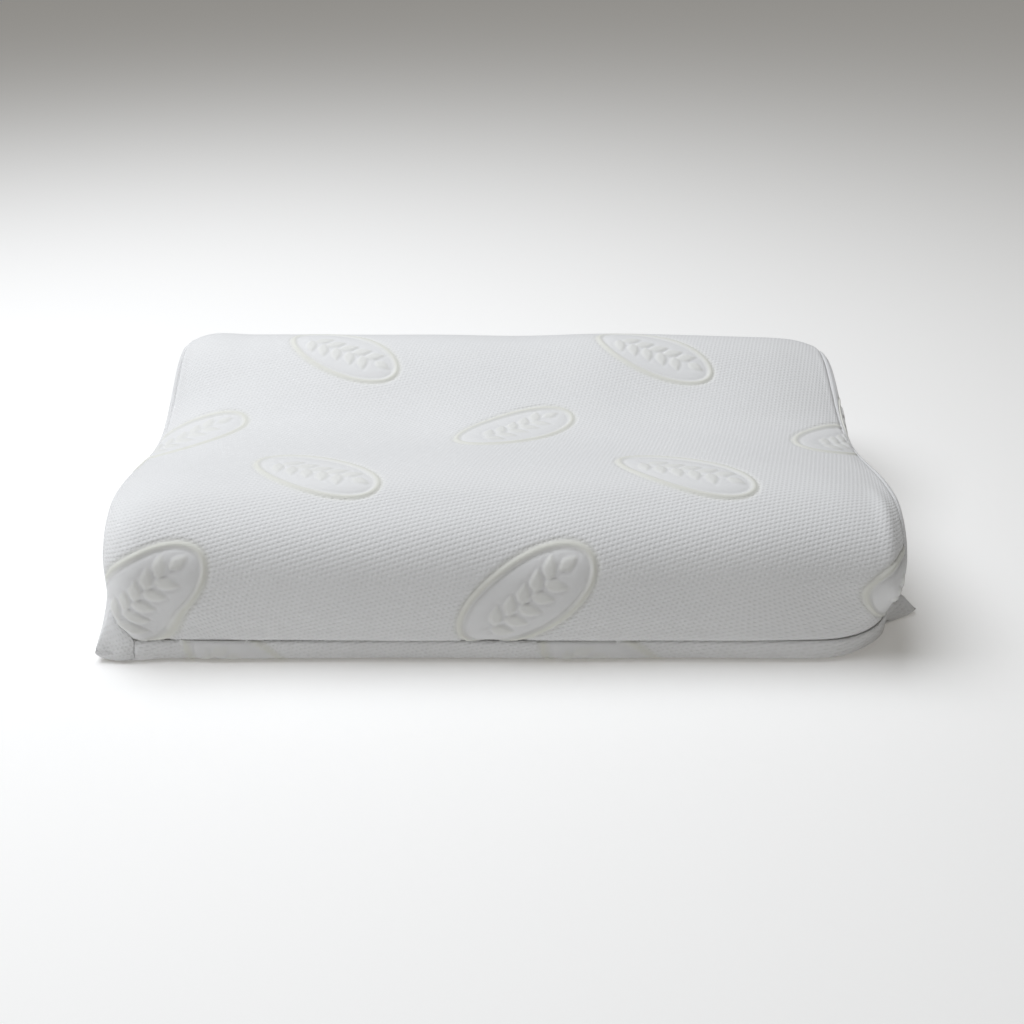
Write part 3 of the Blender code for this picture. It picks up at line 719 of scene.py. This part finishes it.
def counted(length, step):
    """How many steps fit a length, as a multiple of five so that the inside can be five times coarser."""
    return max(5, 5 * round(length / step / 5))


def knit_strip(name, first, last, edges, rows, seed, step=WEAVE_STEP):
    """One panel from end seam to end seam, first to last round the outline."""
    end = END_SEAM - SEAM_GAP
    long_steps, round_steps = counted(2 * end, step), counted(last - first, step)
    along, around = np.meshgrid(
        np.linspace(-end, end, long_steps + 1), np.linspace(first, last, round_steps + 1), indexing="ij"
    )
    side = np.where(along < 0, -1, 1)
    reach = np.where(along < 0, seam_along(around, -1), seam_along(around, 1)) - END_SEAM
    along = along + side * reach * smooth(np.abs(along), END_SEAM - 0.08, END_SEAM)
    for edge, kind in edges:
        if kind == "hem":
            closing = smooth(np.abs(along), 0.2665, 0.2790) * (ZIP_OPENING - 0.0004)
            way = 1 if edge < ZIP_ROUND else -1
            around = around + way * closing * (1 - smooth(np.abs(around - edge), 0, 0.03))
    points, _ = cover_points(along, around)
    normal = outward(points)
    centre = (long_steps // 2, round_steps // 2)
    if (normal[centre] * (points[centre] - [0, MIDDLE, MID_HEIGHT])).sum() < 0:
        normal = -normal
    relief, inside, tint = motif_relief(along, around, rows)
    to_end = end + reach - np.abs(along)
    relief = relief + 0.5 * seam_roll(to_end) + 0.00045 * puckers(around, to_end, seed)
    for edge, kind in edges:
        off = np.abs(around - (around[:, :1] if abs(edge - first) < abs(edge - last) else around[:, -1:]))
        gathers = 0.00035 * puckers(along, off, seed + 1) * (1.0 if kind == "seam" else 0.3)
        relief = relief + 0.4 * seam_roll(off) + gathers
    relief = relief + 0.0009 * soft_waves(along, around, seed + 2) * smooth(to_end, 0, 0.02)
    drawn = smooth(points[..., 2], 0.030, 0.055) * (1 - smooth(around, 0.10, 0.16)) * (along > 0)
    relief = relief + 0.0024 * np.exp(-(((to_end - 0.019) / 0.0075) ** 2)) * drawn
    relief = relief * smooth(points[..., 2], -0.001, 0.004)
    outside = points + normal * relief[..., None]
    outside[..., 2] = np.maximum(outside[..., 2], 0.0)
    inner_along, inner_around = along[::5, ::5], around[::5, ::5]
    inner = cover_points(inner_along, inner_around, COVER_DEPTH)[0]
    piece = two_sided(name, outside, inner, knit)
    give_cloth(piece, along, around, inside, tint)
    return piece, outside, around[0]


top_panel, top_skin, top_around = knit_strip(
    "top_knit_panel", SEAM_GAP, round_at_back(ZIP_Z + ZIP_OPENING),
    ((SEAM_GAP, "seam"), (round_at_back(ZIP_Z + ZIP_OPENING), "hem")), TOP_ROWS, 11,
)

# ---- Bottom panel ----------------------------------------------------------------------------------------
# The same cloth, from the front seam down under the whole pillow and a little way up the back to the lower
# zip tape. It lies flat on the bed, and only a low strip of it shows in front and behind.
BOTTOM_ROWS = tuple(
    (COVER_ROUND - 0.026 - 0.117 * k, 0.078 - 0.1418 * (k % 2), 1 if k % 2 else -1) for k in range(5)
)
bottom_panel, bottom_skin, bottom_around = knit_strip(
    "bottom_knit_panel", round_at_back(ZIP_Z - ZIP_OPENING), COVER_ROUND - SEAM_GAP,
    ((round_at_back(ZIP_Z - ZIP_OPENING), "hem"), (COVER_ROUND - SEAM_GAP, "seam")), BOTTOM_ROWS, 23,
    2 * WEAVE_STEP,
)

# ---- End panels ------------------------------------------------------------------------------------------
# Each end is closed by one panel cut to the pillow's outline and sewn all round, so it bulges a little. The
# spare cloth at its two low corners folds over in a crease.
END_ROWS = ((0.062, 0.030, 1), (-0.055, -0.110, -1), (0.179, -0.110, -1))


def end_panel(name, side, seed):
    """The panel over one end, from its seam in over the rounded edge to the middle."""
    start, finish = END_SEAM + SEAM_GAP, ALONG_END - 0.002
    step = 1.2 * WEAVE_STEP
    in_steps, round_steps = 3 * counted(finish - start, step), counted(COVER_ROUND, step)
    along, around = np.meshgrid(
        side * np.linspace(start, finish, in_steps + 1),
        np.linspace(0, COVER_ROUND, round_steps, endpoint=False), indexing="ij",
    )
    reach = seam_along(around, side) - END_SEAM
    off = np.abs(along) - start
    along = along + side * reach * (1 - smooth(off, 0, 0.04))
    points, near = cover_points(along, around)
    normal = outward(points, closed=True)
    if (normal[in_steps // 2, 0] * [side, 0, 0]).sum() < 0:
        normal = -normal
    flat = form(COVER_OUTLINE, along, around)
    over = np.maximum(STRAIGHT_HALF + CORNER_ARC - np.abs(along), 0)
    u = side * (flat[..., 1] + over * np.interp(around, COVER_OUTLINE["round"], COVER_OUTLINE["out_y"]))
    v = flat[..., 2] + over * np.interp(around, COVER_OUTLINE["round"], COVER_OUTLINE["out_z"])
    relief, inside, tint = motif_relief(u, v, END_ROWS)
    relief = relief + 0.5 * seam_roll(off) + 0.00025 * puckers(around, off, seed)
    relief = relief + 0.0010 * soft_waves(u, v, seed + 1) * smooth(off, 0, 0.02)
    crease = 0.0018 * np.exp(-(((points[..., 2] - 0.0095) / 0.0013) ** 2))
    crease = crease + 0.0010 * np.exp(-(((points[..., 2] - 0.0135) / 0.0012) ** 2))
    relief = relief - crease * np.clip(near * 1.6, 0, 1)
    relief = relief * smooth(points[..., 2], -0.001, 0.003) * smooth(finish - np.abs(along), 0, 0.004)
    outside = points + normal * relief[..., None]
    outside[..., 2] = np.maximum(outside[..., 2], 0.0)
    inner = cover_points(along[::5, ::5], around[::5, ::5], COVER_DEPTH)[0]
    piece = two_sided(name, outside, inner, knit, ring=True)
    give_cloth(piece, u, v, inside, tint)
    return piece, outside[0]


left_end, left_rim = end_panel("left_end_knit_panel", -1, 31)
right_end, right_rim = end_panel("right_end_knit_panel", 1, 37)
for piece, node in (
    (top_panel, "top_panel"), (bottom_panel, "bottom_panel"),
    (left_end, "left_end_panel"), (right_end, "right_end_panel"),
):
    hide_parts(node)
    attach(piece, "pillow")

# ---- Seam stitches ---------------------------------------------------------------------------------------
# White polyester thread. Lockstitches hold the front seam and the two end seams, deep in their grooves, and
# a row of overlock stitches closes each end of the jersey inside.
THREAD_RADIUS = 0.00027
STITCH_PITCH = 0.0031
STITCH_LENGTH = 0.0027


def thread_finish():
    """White thread with a fine twist."""
    material, nodes, links, shader = new_finish("thread", (0.82, 0.82, 0.80), 0.6, 0.15)
    place = nodes.new("ShaderNodeTexCoord")
    twist = nodes.new("ShaderNodeTexWave")
    twist.bands_direction = "DIAGONAL"
    twist.inputs["Scale"].default_value = 900
    links.new(place.outputs["Object"], twist.inputs["Vector"])
    links.new(
        ramp_between(nodes, links, twist.outputs["Fac"], (0.74, 0.74, 0.72), (0.86, 0.86, 0.84)),
        shader.inputs["Base Color"],
    )
    bumped(nodes, links, shader, twist.outputs["Fac"], 0.00005, 0.6)
    return material


thread = thread_finish()


def node_tree(name, sockets):
    """An empty Geometry Nodes tree with named inputs, and each input's identifier."""
    tree = bpy.data.node_groups.new(name, "GeometryNodeTree")
    tree.interface.new_socket("Geometry", in_out="INPUT", socket_type="NodeSocketGeometry")
    tree.interface.new_socket("Geometry", in_out="OUTPUT", socket_type="NodeSocketGeometry")
    names = {}
    for label, kind in sockets:
        names[label] = tree.interface.new_socket(label, in_out="INPUT", socket_type=kind).identifier
    tree_in, tree_out = tree.nodes.new("NodeGroupInput"), tree.nodes.new("NodeGroupOutput")
    return tree, tree_in, tree_out, names


def grown(name, base, tree, values):
    """Runs a Geometry Nodes tree on a mesh and keeps the result as a plain mesh piece."""
    piece = bpy.data.objects.new(name, base)
    bpy.context.scene.collection.objects.link(piece)
    modifier = piece.modifiers.new("nodes", "NODES")
    modifier.node_group = tree
    for identifier, value in values.items():
        modifier[identifier] = value
    finished = bpy.data.meshes.new_from_object(piece.evaluated_get(bpy.context.evaluated_depsgraph_get()))
    finished.name = name
    piece.modifiers.remove(modifier)
    piece.data = finished
    return piece


def stitch_tree():
    """Repeats one stitch along a line of points."""
    tree, tree_in, tree_out, names = node_tree("stitches", (
        ("Pitch", "NodeSocketFloat"), ("Stitch Size", "NodeSocketVector"), ("Material", "NodeSocketMaterial"),
    ))
    nodes, links = tree.nodes, tree.links
    line = nodes.new("GeometryNodeMeshToCurve")
    points = nodes.new("GeometryNodeCurveToPoints")
    points.mode = "LENGTH"
    turned = nodes.new("FunctionNodeAlignRotationToVector")
    turned.axis = "X"
    stitch = nodes.new("GeometryNodeMeshUVSphere")
    stitch.inputs["Segments"].default_value = 8
    stitch.inputs["Rings"].default_value = 5
    stitch.inputs["Radius"].default_value = 1.0
    sized = nodes.new("GeometryNodeTransform")
    even = nodes.new("GeometryNodeSetShadeSmooth")
    placed = nodes.new("GeometryNodeInstanceOnPoints")
    real = nodes.new("GeometryNodeRealizeInstances")
    painted = nodes.new("GeometryNodeSetMaterial")
    links.new(tree_in.outputs["Geometry"], line.inputs["Mesh"])
    links.new(line.outputs["Curve"], points.inputs["Curve"])
    links.new(tree_in.outputs["Pitch"], points.inputs["Length"])
    links.new(points.outputs["Tangent"], turned.inputs["Vector"])
    links.new(stitch.outputs["Mesh"], sized.inputs["Geometry"])
    links.new(tree_in.outputs["Stitch Size"], sized.inputs["Scale"])
    links.new(sized.outputs["Geometry"], even.inputs["Geometry"])
    links.new(points.outputs["Points"], placed.inputs["Points"])
    links.new(even.outputs["Geometry"], placed.inputs["Instance"])
    links.new(turned.outputs["Rotation"], placed.inputs["Rotation"])
    links.new(placed.outputs["Instances"], real.inputs["Geometry"])
    links.new(real.outputs["Geometry"], painted.inputs["Geometry"])
    links.new(tree_in.outputs["Material"], painted.inputs["Material"])
    links.new(painted.outputs["Geometry"], tree_out.inputs["Geometry"])
    return tree, names


stitches, stitch_inputs = stitch_tree()


def stitched(name, line, node, closed=False, pitch=STITCH_PITCH, length=STITCH_LENGTH):
    """A row of stitches along a line of points."""
    count = len(line)
    base = bpy.data.meshes.new(name)
    links_of_line = [(i, (i + 1) % count) for i in range(count if closed else count - 1)]
    base.from_pydata([tuple(p) for p in line], links_of_line, [])
    piece = grown(name, base, stitches, {
        stitch_inputs["Pitch"]: pitch,
        stitch_inputs["Stitch Size"]: (length / 2, THREAD_RADIUS, THREAD_RADIUS),
        stitch_inputs["Material"]: thread,
    })
    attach(piece, "pillow")
    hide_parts(node)


front_line = top_skin[:, 0] + [0, 0.0003, -SEAM_GAP]
stitched("front_seam_stitches", front_line, "front_seam_thread")
for rim, side, word in ((left_rim, -1, "left"), (right_rim, 1, "right")):
    line = rim - [side * SEAM_GAP, 0, 0] + ([0, MIDDLE, MID_HEIGHT] - rim) * 0.002
    line[:, 2] = np.maximum(line[:, 2], 0.0010)
    stitched(f"{word}_end_seam_stitches", line, f"{word}_end_seam_thread", closed=True)
    inner_line = spread_points(
        INNER_OUTLINE, side * (JERSEY_SEAM + 0.0003), side * (JERSEY_SEAM + 0.0003), 0, inner_round, 1, 900,
        JERSEY_OUTSIDE, closed=True,
    )[0]
    stitched(f"inner_{word}_overlock", inner_line, f"inner_{word}_thread", closed=True)

# ---- Zip -------------------------------------------------------------------------------------------------
# A white No. 5 nylon coil zip low on the back. Each half is a woven tape with one coil of stiff filament
# along its edge, and the coils' heads mesh down the middle. The cover's hems are topstitched to the tapes.
COIL_PITCH = 0.0015
FILAMENT = 0.00031
CHAIN_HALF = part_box("zip_coil_upper")[1].x
COIL_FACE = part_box("zip_coil_upper")[1].y
COIL_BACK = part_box("zip_coil_upper")[0].y
COIL_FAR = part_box("zip_coil_upper")[1].z - ZIP_Z
COIL_HEAD = 0.0004


def tape_finish():
    """White woven tape: a tight herringbone."""
    material, nodes, links, shader = new_finish("zip_tape", (0.80, 0.80, 0.78), 0.75, 0.2)
    place = nodes.new("ShaderNodeTexCoord")
    weave = nodes.new("ShaderNodeTexBrick")
    weave.inputs["Scale"].default_value = 900
    weave.inputs["Mortar Size"].default_value = 0.06
    weave.inputs["Color1"].default_value = (0.82, 0.82, 0.80, 1)
    weave.inputs["Color2"].default_value = (0.76, 0.76, 0.74, 1)
    weave.inputs["Mortar"].default_value = (0.60, 0.60, 0.58, 1)
    spin = nodes.new("ShaderNodeMapping")
    spin.inputs["Rotation"].default_value = (math.radians(90), 0, 0)
    links.new(place.outputs["Object"], spin.inputs["Vector"])
    links.new(spin.outputs["Vector"], weave.inputs["Vector"])
    links.new(weave.outputs["Color"], shader.inputs["Base Color"])
    bumped(nodes, links, shader, weave.outputs["Fac"], -0.00008, 0.6)
    return material


def nylon_finish():
    """Stiff white nylon, a little glossy and cloudy."""
    material, nodes, links, shader = new_finish("zip_nylon", (0.88, 0.88, 0.87), 0.32)
    patches = speckle(nodes, links, 400)
    cloudy = ramp_between(nodes, links, patches, (0.85, 0.85, 0.84), (0.90, 0.90, 0.89))
    links.new(cloudy, shader.inputs["Base Color"])
    return material


tape, nylon = tape_finish(), nylon_finish()


def repaint(node, material, bevel=0.0):
    """Gives a part carried over from the CAD a finish, and eases its edges."""
    part = bpy.data.objects[node]
    part.data.materials.clear()
    part.data.materials.append(material)
    if bevel:
        weld = part.modifiers.new("weld", "WELD")
        weld.merge_threshold = 0.00001
        ease = part.modifiers.new("ease", "BEVEL")
        ease.width = bevel
        ease.segments = 2
        ease.limit_method = "ANGLE"
        ease.angle_limit = math.radians(40)


TAPE_END = END_SEAM - 0.002
TAPE_NEAR = (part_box("zip_tape_upper")[0].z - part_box("zip_tape_lower")[1].z) / 2
TAPE_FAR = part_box("zip_tape_upper")[1].z - ZIP_Z
TAPE_DEPTH = (0.0033, 0.0039)
for side, word in ((1, "upper"), (-1, "lower")):
    near_edge = round_at_back(ZIP_Z + side * TAPE_NEAR)
    far_edge = round_at_back(ZIP_Z + side * TAPE_FAR)
    along, around = np.meshgrid(
        np.linspace(-TAPE_END, TAPE_END, 141), np.linspace(near_edge, far_edge, 7), indexing="ij"
    )
    strip = two_sided(
        f"zip_tape_{word}_strip", cover_points(along, around, TAPE_DEPTH[0])[0],
        cover_points(along, around, TAPE_DEPTH[1])[0], tape,
    )
    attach(strip, "pillow")
    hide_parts(f"zip_tape_{word}")

for node in ("zip_top_stop_upper", "zip_top_stop_lower", "zip_bottom_stop"):
    repaint(node, nylon, 0.0003)


def coil_tree():
    """Winds a filament into a long flattened coil along X."""
    tree, tree_in, tree_out, names = node_tree("zip_coil", (
        ("Turns", "NodeSocketFloat"), ("Length", "NodeSocketFloat"), ("Half Size", "NodeSocketVector"),
        ("Filament", "NodeSocketFloat"), ("Material", "NodeSocketMaterial"),
    ))
    nodes, links = tree.nodes, tree.links
    coil = nodes.new("GeometryNodeCurveSpiral")
    coil.inputs["Resolution"].default_value = 12
    coil.inputs["Start Radius"].default_value = 1.0
    coil.inputs["End Radius"].default_value = 1.0
    sized = nodes.new("GeometryNodeTransform")
    laid = nodes.new("GeometryNodeTransform")
    laid.inputs["Rotation"].default_value = (0, math.radians(90), 0)
    ring = nodes.new("GeometryNodeCurvePrimitiveCircle")
    ring.inputs["Resolution"].default_value = 6
    tube = nodes.new("GeometryNodeCurveToMesh")
    tube.inputs["Fill Caps"].default_value = True
    even = nodes.new("GeometryNodeSetShadeSmooth")
    real = nodes.new("GeometryNodeRealizeInstances")
    painted = nodes.new("GeometryNodeSetMaterial")
    links.new(tree_in.outputs["Turns"], coil.inputs["Rotations"])
    links.new(tree_in.outputs["Length"], coil.inputs["Height"])
    links.new(coil.outputs["Curve"], sized.inputs["Geometry"])
    links.new(tree_in.outputs["Half Size"], sized.inputs["Scale"])
    links.new(sized.outputs["Geometry"], laid.inputs["Geometry"])
    links.new(laid.outputs["Geometry"], tube.inputs["Curve"])
    links.new(tree_in.outputs["Filament"], ring.inputs["Radius"])
    links.new(ring.outputs["Curve"], tube.inputs["Profile Curve"])
    links.new(tube.outputs["Mesh"], even.inputs["Geometry"])
    links.new(even.outputs["Geometry"], real.inputs["Geometry"])
    links.new(real.outputs["Geometry"], painted.inputs["Geometry"])
    links.new(tree_in.outputs["Material"], painted.inputs["Material"])
    links.new(painted.outputs["Geometry"], tree_out.inputs["Geometry"])
    return tree, names


coil_nodes, coil_inputs = coil_tree()
for side, word in ((1, "upper"), (-1, "lower")):
    centre = Vector((-CHAIN_HALF, (COIL_FACE + COIL_BACK) / 2, ZIP_Z + side * (COIL_FAR - COIL_HEAD) / 2))
    coil = grown(f"zip_coil_{word}_half", bpy.data.meshes.new(f"zip_coil_{word}_half"), coil_nodes, {
        coil_inputs["Turns"]: 2 * CHAIN_HALF / COIL_PITCH,
        coil_inputs["Length"]: 2 * CHAIN_HALF,
        coil_inputs["Half Size"]: (
            (COIL_FAR + COIL_HEAD) / 2 - FILAMENT, (COIL_FACE - COIL_BACK) / 2 - FILAMENT, 1.0,
        ),
        coil_inputs["Filament"]: FILAMENT,
        coil_inputs["Material"]: nylon,
    })
    for point in coil.data.vertices:
        point.co += centre
    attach(coil, "pillow")
    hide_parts(f"zip_coil_{word}")

TOPSTITCH = 0.0029
for skin, around, edge, word, way in (
    (top_skin, top_around, round_at_back(ZIP_Z + ZIP_OPENING), "upper", -1),
    (bottom_skin, bottom_around, round_at_back(ZIP_Z - ZIP_OPENING), "lower", 1),
):
    wanted = edge + way * TOPSTITCH
    column = int(np.searchsorted(around, wanted)) - 1
    share = (wanted - around[column]) / (around[column + 1] - around[column])
    line = skin[:, column] * (1 - share) + skin[:, column + 1] * share + [0, 0.0002, 0]
    stitched(f"zip_topstitch_{word}", line[2:-2], f"zip_stitch_{word}", pitch=0.0034, length=0.0030)

# ---- Zip slider ------------------------------------------------------------------------------------------
# A small cast slider in satin nickel: two plates round the coils joined by a wedge, with a bridge on the
# outside for the puller. It runs the length of the zip.


def metal_finish():
    """Satin nickel over a casting, with faint handling marks."""
    material, nodes, links, shader = new_finish("zip_metal", (0.66, 0.65, 0.63), 0.34)
    shader.inputs["Metallic"].default_value = 1.0
    marks = speckle(nodes, links, 500, 4)
    rough = nodes.new("ShaderNodeMapRange")
    rough.inputs["To Min"].default_value = 0.26
    rough.inputs["To Max"].default_value = 0.46
    links.new(marks, rough.inputs["Value"])
    links.new(rough.outputs["Result"], shader.inputs["Roughness"])
    bumped(nodes, links, shader, marks, 0.00003, 0.4)
    return material


metal = metal_finish()
repaint("zip_slider", metal, 0.0003)

# ---- Zip puller ------------------------------------------------------------------------------------------
# A flat pressed tab of the same metal. It hangs on a pin through the slider's bridge and swings over it.
repaint("zip_puller", metal, 0.0003)

# ---- Care label ------------------------------------------------------------------------------------------
# A blank white satin label, sewn flat to the back of the top panel beside the left end seam.
LABEL_X = (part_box("care_label")[0].x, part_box("care_label")[1].x)
LABEL_Z = (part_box("care_label")[0].z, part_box("care_label")[1].z)


def satin_finish():
    """White polyester satin with fine shining ribs along it."""
    material, nodes, links, shader = new_finish("label_satin", (0.84, 0.84, 0.83), 0.38, 0.1)
    place = nodes.new("ShaderNodeTexCoord")
    ribs = nodes.new("ShaderNodeTexWave")
    ribs.bands_direction = "Z"
    ribs.inputs["Scale"].default_value = 700
    links.new(place.outputs["Object"], ribs.inputs["Vector"])
    links.new(
        ramp_between(nodes, links, ribs.outputs["Fac"], (0.78, 0.78, 0.77), (0.88, 0.88, 0.87)),
        shader.inputs["Base Color"],
    )
    bumped(nodes, links, shader, ribs.outputs["Fac"], 0.00005, 0.5)
    return material


label_rows = np.linspace(LABEL_X[0] + 0.0012, LABEL_X[1], 24)
label_columns = np.linspace(round_at_back(LABEL_Z[1]), round_at_back(LABEL_Z[0]), 16)
skin_x = np.interp(label_rows, top_skin[:, -20, 0], np.arange(len(top_skin)))
skin_round = np.interp(label_columns, top_around, np.arange(len(top_around)))
low_x, low_round = skin_x.astype(int)[:, None], skin_round.astype(int)[None]
part_x, part_round = (skin_x[:, None] - low_x)[..., None], (skin_round[None] - low_round)[..., None]
beside = [
    top_skin[row, low_round] * (1 - part_round) + top_skin[row, low_round + 1] * part_round
    for row in (low_x, low_x + 1)
]
under_label = beside[0] * (1 - part_x) + beside[1] * part_x
label_out = outward(under_label)
label_out = np.where(label_out[..., 1:2] < 0, -label_out, label_out)
care_label = two_sided(
    "care_label_sheet", under_label + label_out * 0.0008, under_label + label_out * 0.0004, satin_finish()
)
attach(care_label, "pillow")
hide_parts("care_label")

# ---- Studio ----------------------------------------------------------------------------------------------
# A pale floor, a large soft lamp above and a little to the left, a small bulb low down far to the left, and
# a weak warm fill all round.
floor_paint, _, _, floor_shader = new_finish("floor_paint", (0.93, 0.93, 0.93), 0.9)
floor_shader.inputs["Emission Color"].default_value = (1.0, 0.965, 0.90, 1)
floor_shader.inputs["Emission Strength"].default_value = 0.12
floor_corners = [(-6, -4, -0.0005), (6, -4, -0.0005), (6, 8, -0.0005), (-6, 8, -0.0005)]
floor = mesh_piece("floor", floor_corners, [(0, 1, 2, 3)], floor_paint)


def soft_lamp(name, place, target, size, power, colour):
    """A square soft box at a place, turned to a target."""
    data = bpy.data.lights.new(name, "AREA")
    data.size = size
    data.energy = power
    data.color = colour
    lamp = bpy.data.objects.new(name, data)
    lamp.location = place
    lamp.rotation_euler = (Vector(target) - Vector(place)).to_track_quat("-Z", "Y").to_euler()
    bpy.context.scene.collection.objects.link(lamp)


soft_lamp("key_lamp", (-0.60, 0.20, 1.72), (0, 0, 0.05), 1.6, 34, (0.945, 0.968, 1.0))
side_bulb = bpy.data.lights.new("side_bulb", "POINT")
side_bulb.energy = 11
side_bulb.shadow_soft_size = 0.11
side_bulb.color = (0.94, 0.965, 1.0)
side_lamp = bpy.data.objects.new("side_lamp", side_bulb)
side_lamp.location = (-1.55, -0.32, 0.12)
bpy.context.scene.collection.objects.link(side_lamp)
world = bpy.data.worlds.new("studio")
world.use_nodes = True
world.node_tree.nodes["Background"].inputs["Color"].default_value = (1.0, 0.965, 0.895, 1)
world.node_tree.nodes["Background"].inputs["Strength"].default_value = 0.155
bpy.context.scene.world = world
bpy.context.scene.view_settings.view_transform = "Standard"

camera_data = bpy.data.cameras.new("camera")
camera_data.lens = 46.9
camera_data.sensor_width = 36
camera_data.shift_x = 0.0068
camera_data.shift_y = -0.0117
camera = bpy.data.objects.new("camera", camera_data)
camera.location = (0, -1.038, 0.562)
camera.rotation_euler = (math.radians(63), 0, 0)
bpy.context.scene.collection.objects.link(camera)
bpy.context.scene.camera = camera
